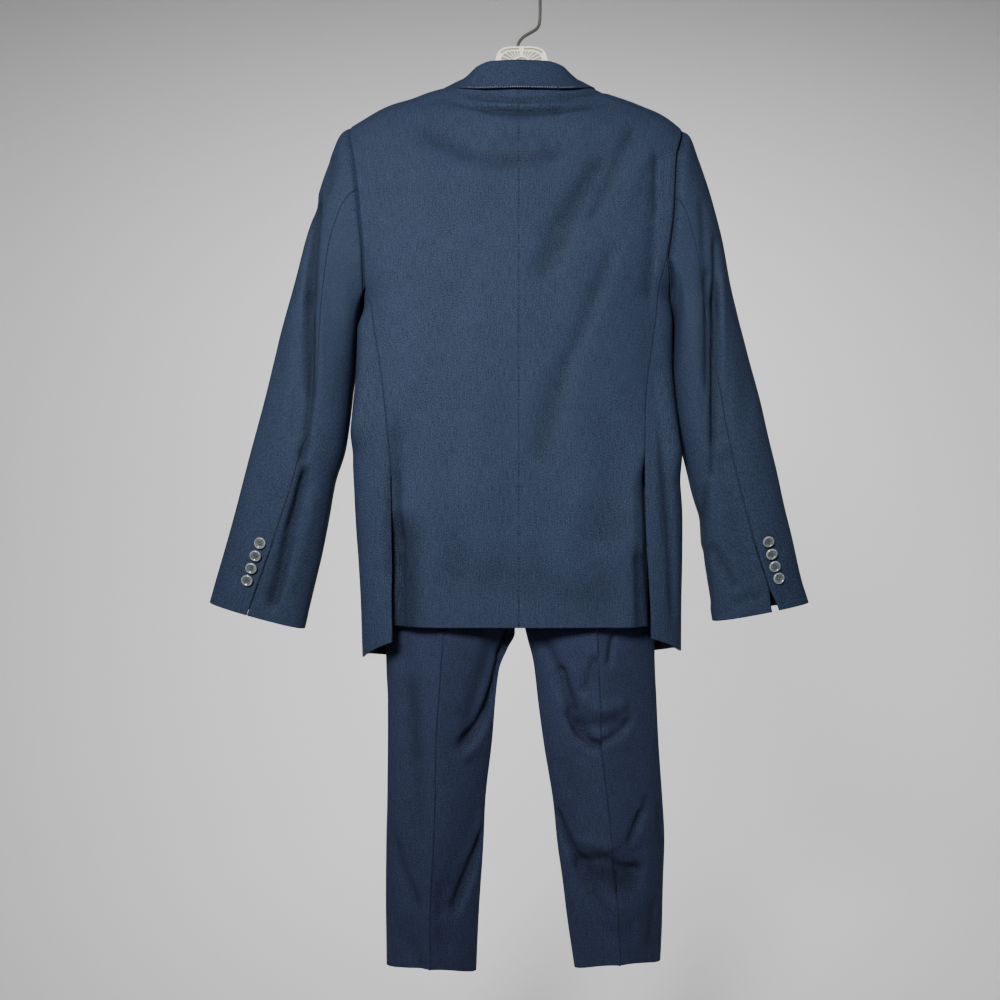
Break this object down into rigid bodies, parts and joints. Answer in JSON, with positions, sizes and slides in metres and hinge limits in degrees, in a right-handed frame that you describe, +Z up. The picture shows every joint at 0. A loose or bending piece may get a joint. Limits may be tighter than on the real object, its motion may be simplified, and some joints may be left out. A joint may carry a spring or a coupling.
{
  "type": "two-piece suit on a hanger",
  "caption": "Tailored jacket over matching trousers, hung flat on a plastic hanger with a wire hook, seen with its back forward.",
  "frame": {"origin": "the highest point of the underside of the hook's crown, where a rod carries the hanger", "axes": "+Z up, +Y the way the wearer would face, so the back of the suit faces -Y and the wearer's right is +X"},
  "size_m": [0.7882, 0.1327, 1.307],
  "materials": {
    "jacket_cloth": "navy worsted wool twill, soft sheen",
    "trouser_cloth": "navy worsted wool twill, soft sheen",
    "horn": "dark horn, polished",
    "plastic": "cream, moulded",
    "steel": "plain wire"
  },
  "bodies": {
    "root": {"breast_welt": "jacket_cloth", "clip_left": "plastic", "clip_right": "plastic", "collar": "jacket_cloth", "cuff_button_left_1": "horn", "cuff_button_left_2": "horn", "cuff_button_left_3": "horn", "cuff_button_left_4": "horn", "cuff_button_right_1": "horn", "cuff_button_right_2": "horn", "cuff_button_right_3": "horn", "cuff_button_right_4": "horn", "front_button_1": "horn", "front_button_2": "horn", "hanger_frame": "plastic", "hanger_hook": "steel", "jacket_back_left": "jacket_cloth", "jacket_back_right": "jacket_cloth", "jacket_front_left": "jacket_cloth", "jacket_front_right": "jacket_cloth", "jacket_side_left": "jacket_cloth", "jacket_side_right": "jacket_cloth", "lapel_left": "jacket_cloth", "lapel_right": "jacket_cloth", "pocket_flap_left": "jacket_cloth", "pocket_flap_right": "jacket_cloth", "topsleeve_left": "jacket_cloth", "topsleeve_right": "jacket_cloth", "trouser_back_left": "trouser_cloth", "trouser_back_right": "trouser_cloth", "trouser_front_left": "trouser_cloth", "trouser_front_right": "trouser_cloth", "undersleeve_left": "jacket_cloth", "undersleeve_right": "jacket_cloth", "waistband_button": "horn", "waistband_left": "trouser_cloth", "waistband_right": "trouser_cloth"}
  },
  "joints": []
}
